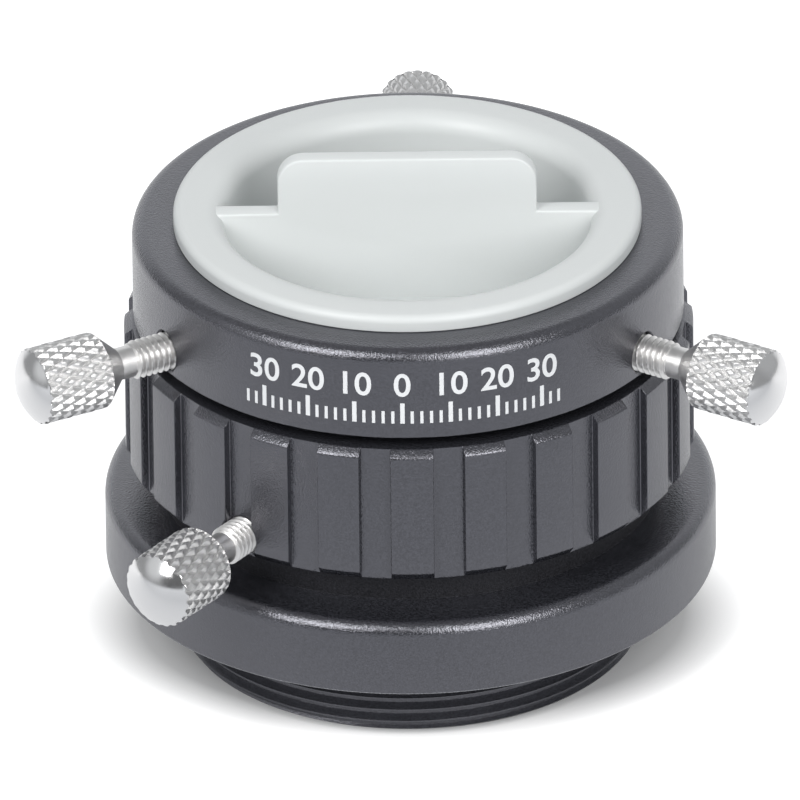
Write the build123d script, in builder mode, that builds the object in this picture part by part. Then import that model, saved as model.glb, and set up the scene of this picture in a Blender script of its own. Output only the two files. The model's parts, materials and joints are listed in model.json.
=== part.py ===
from build123d import *
import os
from math import cos, radians, sin

# Focusing eyepiece holder: a helical focuser for small telescopes.
# The base flange screws onto a T-2 thread. Turning the ribbed ring drives the inner
# tube straight up or down, because a guide screw in the base rides in a slot in the tube.
# The head on the tube clamps a 1 1/4 inch eyepiece with three thumbscrews and a brass ring.
#
# Frame: millimetres, +Z along the eyepiece axis, towards the eyepiece.
# Origin: on the axis, in the flange's seating face. Azimuth runs from the front, -Y, to +X.

# ---------------------------------------------------------------- driving dimensions

# Eyepiece bore and focus tube
BORE_R = 15.90              # takes a 31.75 mm barrel
TUBE_R = 18.00              # crest of the M36 x 1 focusing thread
TUBE_BOTTOM_Z = -6.43       # the tube's end, on which the holder stands
FOCUS_TRAVEL = 6.00
RUNNING_CLEARANCE = 0.05    # between the thread crests of tube and ring

# Base: flange and the collar that the ring turns on
FLANGE_R = 23.57
FLANGE_HEIGHT = 6.05
FLANGE_FILLET = 1.05
T2_MINOR_R = 20.60          # inside of the female M42 x 0.75 thread
T2_DEPTH = 4.60
COLLAR_R = 19.30
COLLAR_HEIGHT = 8.00
BASE_BORE_R = 18.15

# Focus ring: its counterbore fits over the collar and bears on the collar's top through a washer
WASHER_THICKNESS = 0.20
RING_LIFT = 2.85            # gap between flange and ring
RING_HEIGHT = 11.41
RIB_R = 21.93
RIB_COUNT = 24
RIB_PHASE = 0.3             # azimuth of the front rib, degrees
GROOVE_R = 21.27
GROOVE_WIDTH = 2.34
RIB_TOP_CHAMFER = 0.56
RIB_BOTTOM_CHAMFER = 0.80
RING_SEAT_R = 19.40         # counterbore that runs on the collar

# Retaining clip: a split wire ring, half in the collar and half in the ring
CLIP_R = 19.35
CLIP_WIRE_R = 0.36
CLIP_GROOVE_R = 0.45
CLIP_DROP = 1.00            # below the collar's top
CLIP_GAP_ANGLE = 12.0

# Clamp head
HEAD_GAP = 0.86             # between ring and head with the tube fully in
HEAD_R = 21.20
HEAD_HEIGHT = 7.49
HEAD_FILLET = 1.05
HEAD_LIP = 1.46             # thickness of the lip over the tube's end
HEAD_LIP_R = 16.10
HEAD_SCREW_HEIGHT = 1.70    # screw axis above the head's underside

# Brass clamp ring in its groove in the tube's bore
CLAMP_RING_INNER_R = 16.10   # relaxed, just clear of the bore
CLAMP_RING_OUTER_R = 16.55
CLAMP_RING_HEIGHT = 2.50
CLAMP_GROOVE_R = 16.70
CLAMP_GROOVE_HEIGHT = 2.90
CLAMP_RING_GAP = 1.60

# Thumbscrews: M3 x 0.5 stud, cone shoulder, knurled grip and domed end
STUD_R = 1.50
STUD_LENGTH = 4.30
SCREW_NECK_R = 1.25
SCREW_NECK_LENGTH = 1.20
SHOULDER_LENGTH = 1.70
GRIP_R = 3.00
GRIP_LENGTH = 5.50
DOME_R = 2.85
DOME_HEIGHT = 1.10
TAPPED_R = 1.58
HEAD_TURN = -1.8            # azimuth of the head against the ring, degrees
CLAMP_SCREWS = {            # name: azimuth, radius of the stud's tip
    "clamp_screw_left": (HEAD_TURN - 60, 19.94),
    "clamp_screw_right": (HEAD_TURN + 60, 19.50),
    "clamp_screw_back": (HEAD_TURN + 180, 16.60),
}
LOCK_SCREW_AZIMUTH = -37.2
LOCK_SCREW_TIP_R = 19.50
LOCK_SCREW_HEIGHT = 1.68    # axis above the ring's underside

# Guide screw: a slotted M2 dog-point screw that keeps the tube from turning
GUIDE_AZIMUTH = 180.0
GUIDE_HEIGHT = 1.33         # above the flange, in the gap under the ring
GUIDE_BODY_R = 1.00
GUIDE_DOG_R = 0.80
GUIDE_OUTER_R = 19.20
GUIDE_STEP_R = 18.25
GUIDE_TIP_R = 17.20
GUIDE_SLOT_WIDTH = 1.70
GUIDE_SLOT_FLOOR_R = 16.80

# Dust cap
CAP_FLANGE_R = 18.00
CAP_CREST = 1.34            # crest of the rounded rim above the head
CAP_EDGE_R = 0.65
CAP_UNDER_R = 0.12          # edge that rests on the head
CAP_ROLL_R = 1.60           # roll-off into the recess
CAP_RECESS_R = 14.10
CAP_PLUG_R = 15.75
CAP_PLUG_DEPTH = 7.16
CAP_FLOOR = 0.80
WEB_THICKNESS = 1.80
WEB_HALF_WIDTH = 14.84
WEB_DROP = 0.34             # low part of the web, below the rim's crest
TAB_HALF_WIDTH = 9.95
TAB_RISE = 4.30             # above the rim's crest
TAB_CORNER_R = 2.00
TAB_TOP_THICKNESS = 1.40

# ---------------------------------------------------------------- derived heights

ring_bottom = FLANGE_HEIGHT + RING_LIFT
ring_top = ring_bottom + RING_HEIGHT
collar_top = FLANGE_HEIGHT + COLLAR_HEIGHT
clip_z = collar_top - CLIP_DROP
ring_shoulder = collar_top + WASHER_THICKNESS
head_bottom = ring_top + HEAD_GAP
head_top = head_bottom + HEAD_HEIGHT
tube_top = head_top - HEAD_LIP
clamp_z = head_bottom + HEAD_SCREW_HEIGHT
lock_z = ring_bottom + LOCK_SCREW_HEIGHT
guide_z = FLANGE_HEIGHT + GUIDE_HEIGHT
cap_crest = head_top + CAP_CREST
cap_bottom = head_top - CAP_PLUG_DEPTH
cap_floor_top = cap_bottom + CAP_FLOOR


def outward(azimuth):
    """Unit vector away from the axis at an azimuth, from the front (-Y) towards +X."""
    return Vector(sin(radians(azimuth)), -cos(radians(azimuth)), 0)


def radial_plane(azimuth, radius, height):
    """Plane through the axis: x points outward, y points up, origin at that radius and height."""
    out = outward(azimuth)
    return Plane(origin=out * radius + Vector(0, 0, height), x_dir=out, z_dir=out.cross(Vector(0, 0, 1)))


def facing_plane(azimuth, radius, height):
    """Plane that faces outward, for radial holes and studs, origin at that radius and height."""
    out = outward(azimuth)
    return Plane(origin=out * radius + Vector(0, 0, height), x_dir=Vector(0, 0, 1), z_dir=out)


# ---------------------------------------------------------------- base

with BuildPart() as base_flange:
    with BuildSketch(Plane.XZ) as flange_section:
        with BuildLine():
            Polyline(
                (T2_MINOR_R + 0.40, 0),
                (FLANGE_R - 0.25, 0),
                (FLANGE_R, 0.25),
                (FLANGE_R, FLANGE_HEIGHT),
                (COLLAR_R, FLANGE_HEIGHT),
                (COLLAR_R, collar_top - 0.25),
                (COLLAR_R - 0.25, collar_top),
                (BASE_BORE_R, collar_top),
                (BASE_BORE_R, T2_DEPTH),
                (T2_MINOR_R, T2_DEPTH),
                (T2_MINOR_R, 0.40),
                close=True,
            )
        make_face()
        fillet(
            flange_section.vertices().sort_by_distance((FLANGE_R, FLANGE_HEIGHT))[0],
            radius=FLANGE_FILLET,
        )
        with Locations((CLIP_R, clip_z)):
            Circle(CLIP_WIRE_R + 0.02, mode=Mode.SUBTRACT)
    revolve(axis=Axis.Z)
    # Tapped hole for the guide screw, through the foot of the collar at the back
    with BuildSketch(facing_plane(GUIDE_AZIMUTH, BASE_BORE_R - 1, guide_z)):
        Circle(GUIDE_BODY_R + 0.02)
    extrude(amount=COLLAR_R - BASE_BORE_R + 2, mode=Mode.SUBTRACT)
base_flange.part.label = "base_flange"

with BuildPart() as thrust_washer:
    with BuildSketch(Plane.XY.offset(collar_top)):
        Circle(COLLAR_R - 0.05)
        Circle(BASE_BORE_R + 0.05, mode=Mode.SUBTRACT)
    extrude(amount=WASHER_THICKNESS)
thrust_washer.part.label = "thrust_washer"

with BuildPart() as retaining_clip:
    with BuildSketch(Plane.XZ.rotated((0, 0, CLIP_GAP_ANGLE / 2))):
        with Locations((CLIP_R, clip_z)):
            Circle(CLIP_WIRE_R)
    revolve(axis=Axis.Z, revolution_arc=360 - CLIP_GAP_ANGLE)
retaining_clip.part.label = "retaining_clip"

with BuildPart() as guide_screw:
    with BuildSketch(radial_plane(GUIDE_AZIMUTH, 0, guide_z)):
        with BuildLine():
            Polyline(
                (GUIDE_TIP_R, 0),
                (GUIDE_TIP_R, GUIDE_DOG_R - 0.15),
                (GUIDE_TIP_R + 0.15, GUIDE_DOG_R),
                (GUIDE_STEP_R, GUIDE_DOG_R),
                (GUIDE_STEP_R + 0.15, GUIDE_BODY_R),
                (GUIDE_OUTER_R - 0.15, GUIDE_BODY_R),
                (GUIDE_OUTER_R, GUIDE_BODY_R - 0.15),
                (GUIDE_OUTER_R, 0),
                close=True,
            )
        make_face()
    revolve(axis=Axis((0, 0, guide_z), outward(GUIDE_AZIMUTH)))
    # Screwdriver slot
    with BuildSketch(facing_plane(GUIDE_AZIMUTH, GUIDE_OUTER_R - 0.50, guide_z)):
        Rectangle(0.35, 3 * GUIDE_BODY_R)
    extrude(amount=1.0, mode=Mode.SUBTRACT)
guide_screw.part.label = "guide_screw"

# ---------------------------------------------------------------- focus ring

with BuildPart() as focus_ring:
    with BuildSketch(Plane.XZ):
        with BuildLine():
            Polyline(
                (RING_SEAT_R, ring_bottom),
                (GROOVE_R, ring_bottom),
                (RIB_R, ring_bottom + RIB_BOTTOM_CHAMFER),
                (RIB_R, ring_top - RIB_TOP_CHAMFER),
                (GROOVE_R, ring_top),
                (TUBE_R + RUNNING_CLEARANCE + 0.40, ring_top),
                (TUBE_R + RUNNING_CLEARANCE, ring_top - 0.40),
                (TUBE_R + RUNNING_CLEARANCE, ring_shoulder),
                (RING_SEAT_R, ring_shoulder),
                close=True,
            )
        make_face()
        with Locations((CLIP_R, clip_z)):
            Circle(CLIP_GROOVE_R, mode=Mode.SUBTRACT)
    revolve(axis=Axis.Z)
    # Milled grooves between the ribs, open at both ends
    with BuildSketch(Plane.XY.offset(ring_bottom)):
        first_groove = -90 + RIB_PHASE + 180 / RIB_COUNT
        with PolarLocations(GROOVE_R, RIB_COUNT, start_angle=first_groove):
            Rectangle(2.0, GROOVE_WIDTH, align=(Align.MIN, Align.CENTER))
    extrude(amount=RING_HEIGHT, mode=Mode.SUBTRACT)
    # Tapped hole for the lock screw
    with BuildSketch(facing_plane(LOCK_SCREW_AZIMUTH, RING_SEAT_R - 1, lock_z)):
        Circle(TAPPED_R)
    extrude(amount=RIB_R - RING_SEAT_R + 2, mode=Mode.SUBTRACT)
focus_ring.part.label = "focus_ring"

# ---------------------------------------------------------------- focus tube and head

with BuildPart() as focus_tube:
    with BuildSketch(Plane.XZ):
        with BuildLine():
            Polyline(
                (BORE_R + 0.35, TUBE_BOTTOM_Z),
                (TUBE_R - 0.45, TUBE_BOTTOM_Z),
                (TUBE_R, TUBE_BOTTOM_Z + 0.45),
                (TUBE_R, tube_top),
                (BORE_R + 0.20, tube_top),
                (BORE_R, tube_top - 0.20),
                (BORE_R, clamp_z + CLAMP_GROOVE_HEIGHT / 2),
                (CLAMP_GROOVE_R, clamp_z + CLAMP_GROOVE_HEIGHT / 2),
                (CLAMP_GROOVE_R, clamp_z - CLAMP_GROOVE_HEIGHT / 2),
                (BORE_R, clamp_z - CLAMP_GROOVE_HEIGHT / 2),
                (BORE_R, TUBE_BOTTOM_Z + 0.35),
                close=True,
            )
        make_face()
    revolve(axis=Axis.Z)
    # Closed slot for the guide screw: its two ends are the focusing stops
    slot_low = guide_z - FOCUS_TRAVEL
    with BuildSketch(facing_plane(GUIDE_AZIMUTH, GUIDE_SLOT_FLOOR_R, (slot_low + guide_z) / 2)):
        SlotCenterToCenter(FOCUS_TRAVEL, GUIDE_SLOT_WIDTH)
    extrude(amount=TUBE_R - GUIDE_SLOT_FLOOR_R + 1, mode=Mode.SUBTRACT)
    # Clearance holes for the clamp screws
    for azimuth, tip_r in CLAMP_SCREWS.values():
        with BuildSketch(facing_plane(azimuth, BORE_R + 0.3, clamp_z)):
            Circle(TAPPED_R + 0.05)
        extrude(amount=TUBE_R - BORE_R + 1, mode=Mode.SUBTRACT)
focus_tube.part.label = "focus_tube"

with BuildPart() as clamp_head:
    with BuildSketch(Plane.XZ) as head_section:
        with BuildLine():
            Polyline(
                (TUBE_R + 0.02, head_bottom),
                (HEAD_R - 0.20, head_bottom),
                (HEAD_R, head_bottom + 0.20),
                (HEAD_R, head_top),
                (HEAD_LIP_R + 0.50, head_top),
                (HEAD_LIP_R, head_top - 0.50),
                (HEAD_LIP_R, tube_top),
                (TUBE_R + 0.02, tube_top),
                close=True,
            )
        make_face()
        fillet(head_section.vertices().sort_by_distance((HEAD_R, head_top))[0], radius=HEAD_FILLET)
    revolve(axis=Axis.Z)
    for azimuth, tip_r in CLAMP_SCREWS.values():
        with BuildSketch(facing_plane(azimuth, TUBE_R - 1, clamp_z)):
            Circle(TAPPED_R)
        extrude(amount=HEAD_R - TUBE_R + 2, mode=Mode.SUBTRACT)
clamp_head.part.label = "clamp_head"

with BuildPart() as compression_ring:
    with BuildSketch(Plane.XY.offset(clamp_z - CLAMP_RING_HEIGHT / 2)):
        Circle(CLAMP_RING_OUTER_R)
        Circle(CLAMP_RING_INNER_R, mode=Mode.SUBTRACT)
        # The split lies between the right and back screws
        with PolarLocations(CLAMP_RING_INNER_R, 1, start_angle=-90 + HEAD_TURN + 120):
            Rectangle(3.0, CLAMP_RING_GAP, mode=Mode.SUBTRACT)
    extrude(amount=CLAMP_RING_HEIGHT)
compression_ring.part.label = "compression_ring"


# ---------------------------------------------------------------- thumbscrews

def thumbscrew(name, azimuth, tip_r, height):
    """One turned thumbscrew, revolved about its own radial axis, tip inward."""
    neck_start = STUD_LENGTH
    shoulder_start = neck_start + SCREW_NECK_LENGTH
    grip_start = shoulder_start + SHOULDER_LENGTH
    grip_end = grip_start + GRIP_LENGTH
    with BuildPart() as screw:
        with BuildSketch(radial_plane(azimuth, tip_r, height)):
            with BuildLine():
                Polyline(
                    (0, 0),
                    (0, STUD_R - 0.35),
                    (0.35, STUD_R),
                    (neck_start - 0.15, STUD_R),
                    (neck_start, SCREW_NECK_R),
                    (shoulder_start, SCREW_NECK_R),
                    (grip_start, GRIP_R - 0.10),
                    (grip_start + 0.10, GRIP_R),
                    (grip_end - 0.15, GRIP_R),
                    (grip_end, DOME_R),
                )
                dome_radius = (DOME_R**2 + DOME_HEIGHT**2) / (2 * DOME_HEIGHT)
                RadiusArc((grip_end, DOME_R), (grip_end + DOME_HEIGHT, 0), dome_radius)
                Line((grip_end + DOME_HEIGHT, 0), (0, 0))
            make_face()
        revolve(axis=Axis((0, 0, height), outward(azimuth)))
    screw.part.label = name
    return screw.part


thumbscrews = {
    name: thumbscrew(name, azimuth, tip_r, clamp_z)
    for name, (azimuth, tip_r) in CLAMP_SCREWS.items()
}
thumbscrews["lock_screw"] = thumbscrew("lock_screw", LOCK_SCREW_AZIMUTH, LOCK_SCREW_TIP_R, lock_z)

# ---------------------------------------------------------------- dust cap

with BuildPart() as dust_cap:
    # Hollow plug with a rim that rolls over into the finger recess
    with BuildSketch(Plane.XZ) as cap_section:
        with BuildLine():
            Polyline(
                (0, cap_bottom),
                (CAP_PLUG_R, cap_bottom),
                (CAP_PLUG_R, head_top),
                (CAP_FLANGE_R, head_top),
                (CAP_FLANGE_R, cap_crest),
                (CAP_RECESS_R, cap_crest),
                (CAP_RECESS_R, cap_floor_top),
                (0, cap_floor_top),
                close=True,
            )
        make_face()
        rounded_corners = {
            (CAP_RECESS_R, cap_crest): CAP_ROLL_R,
            (CAP_FLANGE_R, cap_crest): CAP_EDGE_R,
            (CAP_FLANGE_R, head_top): CAP_UNDER_R,
        }
        for corner, corner_radius in rounded_corners.items():
            fillet(cap_section.vertices().sort_by_distance(corner)[0], radius=corner_radius)
        chamfer(cap_section.vertices().sort_by_distance((CAP_PLUG_R, cap_bottom))[0], length=0.50)
    revolve(axis=Axis.Z)
    # Web across the recess, its ends running into the roll-off
    with BuildSketch(Plane.XZ.offset(-WEB_THICKNESS / 2)):
        with Locations((0, cap_floor_top)):
            Rectangle(
                2 * WEB_HALF_WIDTH,
                cap_crest - WEB_DROP - cap_floor_top,
                align=(Align.CENTER, Align.MIN),
            )
    extrude(amount=WEB_THICKNESS)
    # Grip tab on the web, drafted thinner towards its top and rounded at its two corners
    with BuildSketch(Plane.YZ.offset(-TAB_HALF_WIDTH)):
        with BuildLine():
            Polyline(
                (-WEB_THICKNESS / 2, cap_floor_top),
                (-WEB_THICKNESS / 2, cap_crest - WEB_DROP),
                (-TAB_TOP_THICKNESS / 2, cap_crest + TAB_RISE),
                (TAB_TOP_THICKNESS / 2, cap_crest + TAB_RISE),
                (WEB_THICKNESS / 2, cap_crest - WEB_DROP),
                (WEB_THICKNESS / 2, cap_floor_top),
                close=True,
            )
        make_face()
    extrude(amount=2 * TAB_HALF_WIDTH)
    fillet(dust_cap.edges().filter_by(Axis.Y).group_by(Axis.Z)[-1], radius=TAB_CORNER_R)
dust_cap.part.label = "dust_cap"

# ---------------------------------------------------------------- write the pieces

pieces = [
    base_flange.part,
    thrust_washer.part,
    retaining_clip.part,
    guide_screw.part,
    focus_ring.part,
    focus_tube.part,
    clamp_head.part,
    compression_ring.part,
    dust_cap.part,
    *thumbscrews.values(),
]
os.makedirs("parts", exist_ok=True)
for piece in pieces:
    export_step(piece, f"parts/{piece.label}.step")
    box = piece.bounding_box()
    print(f"{piece.label:18s} {piece.volume:9.1f} mm3  z {box.min.Z:7.2f} to {box.max.Z:7.2f}")
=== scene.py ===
# %% [markdown]
# # A focusing eyepiece holder
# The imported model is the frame: it says where every piece is and how it moves. This file dresses it.
# The visible pieces are made again as smooth surfaces with the fine detail that a machine shop leaves
# on them: helical threads, diamond knurls, broken edges and a printed scale.

# %% Load the frame
import json
import math
import bmesh
import bpy
import mathutils
import numpy as np
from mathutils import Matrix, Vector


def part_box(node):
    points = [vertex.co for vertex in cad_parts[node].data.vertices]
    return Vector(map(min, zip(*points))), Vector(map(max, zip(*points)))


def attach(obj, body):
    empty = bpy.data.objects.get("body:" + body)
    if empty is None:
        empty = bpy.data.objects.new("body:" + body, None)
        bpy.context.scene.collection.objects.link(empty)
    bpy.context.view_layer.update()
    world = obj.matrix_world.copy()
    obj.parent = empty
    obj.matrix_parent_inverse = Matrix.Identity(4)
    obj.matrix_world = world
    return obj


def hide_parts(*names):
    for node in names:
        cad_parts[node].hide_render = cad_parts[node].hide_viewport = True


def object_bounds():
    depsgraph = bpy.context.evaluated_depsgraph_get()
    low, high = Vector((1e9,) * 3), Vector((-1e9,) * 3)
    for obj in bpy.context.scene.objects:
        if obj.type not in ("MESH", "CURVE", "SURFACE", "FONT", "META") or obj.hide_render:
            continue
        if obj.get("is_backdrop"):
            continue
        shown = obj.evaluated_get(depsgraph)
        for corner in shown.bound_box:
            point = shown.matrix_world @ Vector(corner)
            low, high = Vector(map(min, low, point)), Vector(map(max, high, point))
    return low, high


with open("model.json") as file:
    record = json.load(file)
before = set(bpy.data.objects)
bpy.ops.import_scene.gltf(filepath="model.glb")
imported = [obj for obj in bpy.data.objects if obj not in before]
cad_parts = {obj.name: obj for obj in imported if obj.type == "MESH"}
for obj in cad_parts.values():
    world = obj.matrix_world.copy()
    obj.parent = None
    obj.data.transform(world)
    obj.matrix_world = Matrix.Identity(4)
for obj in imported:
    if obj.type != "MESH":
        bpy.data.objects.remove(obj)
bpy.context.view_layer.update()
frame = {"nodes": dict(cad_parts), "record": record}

MM = 0.001
TAU = 2 * math.pi
record = frame["record"]
nodes = frame["nodes"]

# %% [markdown]
# ## Sizes from the frame
# Each piece's box at rest gives its heights and outer radius, so the dressed piece is as large as its
# solid. What a box can't give, such as the depth of a thread, is a standard size or a small finish
# dimension, named in millimetres where it is first needed.

# %% Read the boxes
def heights(node):
    """Lowest and highest z of a CAD node."""
    low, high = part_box(node)
    return low.z, high.z


flange_bottom, collar_top = heights("base_flange")
washer_top = heights("thrust_washer")[1]
ring_bottom, ring_top = heights("focus_ring")
tube_bottom, tube_top = heights("focus_tube")
head_bottom, head_top = heights("clamp_head")
cap_bottom, cap_top = heights("dust_cap")
flange_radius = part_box("base_flange")[1].x
rib_radius = 21.93 * MM  # no rib points exactly along x, so the ring's box doesn't give it
head_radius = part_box("clamp_head")[1].x
tube_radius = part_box("focus_tube")[1].x
cap_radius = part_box("dust_cap")[1].x
bore = next(m for m in record["mounts"] if m["name"] == "eyepiece_bore")
bore_radius = bore["dims"]["r_mm"] * MM
print("flange radius mm", round(flange_radius / MM, 2), "head top mm", round(head_top / MM, 2))

# %% [markdown]
# ## Surfaces from arrays
# Nearly every piece here is turned on a lathe. Blender's Spin or Screw modifier could turn a plain
# profile, but not one that changes on the way round. So the pieces are grids of points instead: one row
# per step along the profile and one column per angle, with quads between them. A thread or a knurl is
# then just a radius that depends on both.

# %% Faces of a grid
def grid_faces(rows, columns, start=0, loop=False, seam=0):
    """Quads joining a rows x columns grid of points, closed round the axis: face (i, j) uses rows i, i+1
    and columns j, j+1. loop joins the last row to the first. seam shifts the rows where the last
    column meets the first, which closes a helix: one pitch of rows."""
    index = start + np.arange(rows * columns).reshape(rows, columns)
    met = index[np.clip(np.arange(rows) + seam, 0, rows - 1), 0]
    right = np.column_stack([index[:, 1:], met])
    if loop:
        index, right = np.vstack([index, index[:1]]), np.vstack([right, right[:1]])
    return np.stack([index[:-1], right[:-1], right[1:], index[1:]], axis=-1).reshape(-1, 4)


print("a 3 x 4 grid has", len(grid_faces(3, 4)), "faces")

# %% [markdown]
# Where rows meet on the axis or are pressed onto one height, points fall on each other. Merging them
# closes the skin, and recalculating the normals turns every face outward.

# %% A mesh from arrays
same_point, no_length = 0.0002 * MM, 0.00001 * MM


def finish_edges(made, smooth_angle):
    """Smooth shading, with the edges that turn by more than smooth_angle degrees kept sharp."""
    made.data.shade_smooth()
    made.data.set_sharp_from_angle(angle=math.radians(smooth_angle))


def new_object(name, data):
    """An object in the scene, at the origin."""
    made = bpy.data.objects.new(name, data)
    bpy.context.scene.collection.objects.link(made)
    return made


def mesh_object(name, vertices, faces, material, smooth_angle=40.0):
    """A mesh from arrays, with doubles merged, normals outward and edges sharp past smooth_angle."""
    mesh = bpy.data.meshes.new(name)
    mesh.from_pydata(np.asarray(vertices).tolist(), [], np.asarray(faces).tolist())
    cleaned = bmesh.new()
    cleaned.from_mesh(mesh)
    bmesh.ops.remove_doubles(cleaned, verts=cleaned.verts, dist=same_point)
    bmesh.ops.dissolve_degenerate(cleaned, edges=cleaned.edges, dist=no_length)
    bmesh.ops.recalc_face_normals(cleaned, faces=cleaned.faces)
    cleaned.to_mesh(mesh)
    cleaned.free()
    made = new_object(name, mesh)
    mesh.materials.append(material)
    finish_edges(made, smooth_angle)
    print(f"{name}: {len(mesh.polygons)} faces")
    return made


def face_centres(piece):
    """The middle of every face, as an n x 3 array."""
    found = np.empty(len(piece.data.polygons) * 3)
    piece.data.polygons.foreach_get("center", found)
    return found.reshape(-1, 3)


def finish_faces(piece, index, finishes):
    """Adds finishes to a piece and gives each face the material of its index, 0 being its first one."""
    for finish in finishes:
        piece.data.materials.append(finish)
    piece.data.polygons.foreach_set("material_index", index.astype(np.int32))


# %% Turned surfaces
def turned(radius, height, angle):
    """Points of a surface of revolution about z: (r sin a, -r cos a, z), a measured from the front."""
    radius, height, angle = np.broadcast_arrays(radius, height, angle)
    return np.stack([radius * np.sin(angle), -radius * np.cos(angle), height], axis=-1)


def turned_ring(name, outline, material, columns, smooth_angle):
    """A ring-shaped solid: a closed outline of (radius, height) points carried round the axis."""
    angle = np.linspace(0, TAU, columns, endpoint=False)
    points = turned(outline[:, :1], outline[:, 1:], angle[None])
    faces = grid_faces(len(outline), columns, loop=True)
    return mesh_object(name, points.reshape(-1, 3), faces, material, smooth_angle)


# %% [markdown]
# No turned part has a knife edge: a corner is broken with a file, or cut round by the tool. That thin
# round is what catches the light. A Bevel modifier gives every edge one width, so the corners are
# rounded in the outline instead, each with its own radius.

# %% Rounded outlines
def rounded(corners, radii, steps=6):
    """A closed outline with its corners rounded. corners is n x 2; each corner with a radius becomes an
    arc that touches both its sides: its centre lies on the bisector, at radius / sin(half angle)."""
    corners = np.asarray(corners, float)
    outline = []
    for corner, before, after, radius in zip(
        corners, np.roll(corners, 1, axis=0), np.roll(corners, -1, axis=0), radii
    ):
        if radius <= 0:
            outline.append(corner[None])
            continue
        to_before = (before - corner) / np.linalg.norm(before - corner)
        to_after = (after - corner) / np.linalg.norm(after - corner)
        half = 0.5 * math.acos(np.clip(to_before @ to_after, -1, 1))
        bisector = (to_before + to_after) / np.linalg.norm(to_before + to_after)
        centre = corner + bisector * radius / math.sin(half)
        start = corner + to_before * radius / math.tan(half) - centre
        end = corner + to_after * radius / math.tan(half) - centre
        turn = math.atan2(start[0] * end[1] - start[1] * end[0], start @ end)
        angle = np.linspace(0, turn, steps)
        outline.append(
            centre
            + np.outer(np.cos(angle), start)
            + np.outer(np.sin(angle), [-start[1], start[0]])
        )
    return np.concatenate(outline)


print("a square with round corners has", len(rounded([(0, 0), (1, 0), (1, 1), (0, 1)], [0.1] * 4)), "points")

# %% [markdown]
# ## Holes
# The screws' studs pass through tapped holes. A hole is cut with a Boolean against a small turned
# cutter: a plain bore with a short 45 degree countersink where it meets the outside. The cut is
# applied at once, so no modifier is left on the piece, and the edges are marked sharp again.

# %% Directions round the axis
def outward(azimuth):
    """Unit vector away from the axis, at an azimuth in degrees from the front towards +X."""
    return np.array([math.sin(math.radians(azimuth)), -math.cos(math.radians(azimuth)), 0.0])


def along(azimuth, height, points):
    """Moves points made about their own z axis so that z runs outward at that azimuth and height."""
    out = outward(azimuth)
    side = np.array([-out[1], out[0], 0.0])
    up = np.array([0.0, 0.0, 1.0])
    basis = np.stack([side, up, out])
    return points @ basis + np.array([0, 0, height])


# %% Drill radial holes
hole_columns = 48


def drill(piece, azimuth, height, hole_radius, surface_radius, sink, depth):
    """Cuts a radial hole of that depth, countersunk by sink where it meets a surface at
    surface_radius. The cutter goes on past the surface by three times the sink, to cut cleanly."""
    outline = np.array(
        [
            (0, surface_radius - depth),
            (hole_radius, surface_radius - depth),
            (hole_radius, surface_radius - sink),
            (hole_radius + 2 * sink, surface_radius + sink),
            (hole_radius + 2 * sink, surface_radius + 3 * sink),
            (0, surface_radius + 3 * sink),
        ]
    )
    angle = np.linspace(0, TAU, hole_columns, endpoint=False)
    points = turned(outline[:, :1], outline[:, 1:], angle[None]).reshape(-1, 3)
    faces = grid_faces(len(outline), len(angle))
    cutter = mesh_object("cutter", along(azimuth, height, points), faces, piece.data.materials[0])
    cut = piece.modifiers.new("hole", "BOOLEAN")
    cut.operation, cut.solver, cut.object = "DIFFERENCE", "EXACT", cutter
    shape = bpy.context.evaluated_depsgraph_get()
    piece.data = bpy.data.meshes.new_from_object(piece.evaluated_get(shape))
    piece.modifiers.clear()
    bpy.data.objects.remove(cutter)
    finish_edges(piece, 30.0)
    print(f"{piece.name}: hole at azimuth {azimuth:.0f}, height {height / MM:.2f} mm")


# %% [markdown]
# ## Helical threads
# A thread is a radius that falls from the crest into the root and back once per pitch, with the pattern
# climbing one pitch per turn. On a level grid its edges would cross the quads and look like a saw. So
# the grid climbs with the thread: its rows lie along the crests, and the edges stay crisp. Rows past
# either end are pressed flat onto it, which closes the skin.

# %% The thread's profile
half_crest, flank = 1 / 16, 5 / 16  # shares of the pitch


def thread_radius(height, angle, crest, root, pitch, crest_height):
    """Radius of a right-hand thread: crest flat an eighth of the pitch, root flat a quarter, straight
    flanks between. phase is the distance from the nearest crest line, which passes crest_height at the
    front and climbs pitch per turn."""
    phase = (height - crest_height) / pitch - angle / TAU
    away = np.abs(phase - np.round(phase))
    return crest + (root - crest) * np.clip((away - half_crest) / flank, 0, 1)


# %% A threaded wall
thread_rows = np.array([-0.5, -0.39, -0.36, -0.2, -0.08, -0.045, 0.045, 0.08, 0.2, 0.36, 0.39])


def threaded_skin(radius_at, low, high, pitch, crest_height, angle):
    """Vertices and faces of a threaded wall between two heights. radius_at(height, angle) gives its
    shape. thread_rows, in shares of the pitch, lie just beside the corners of the profile, so that
    each corner is a narrow round."""
    turns = np.arange(math.floor((low - crest_height) / pitch) - 2, (high - crest_height) / pitch + 2)
    row_height = (turns[:, None] + thread_rows[None]).ravel() * pitch + crest_height
    height = np.clip(row_height[:, None] + angle[None] / TAU * pitch, low, high)
    points = turned(radius_at(height, angle[None]), height, angle[None])
    faces = grid_faces(len(row_height), len(angle), seam=len(thread_rows))
    return points.reshape(-1, 3), faces


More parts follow.
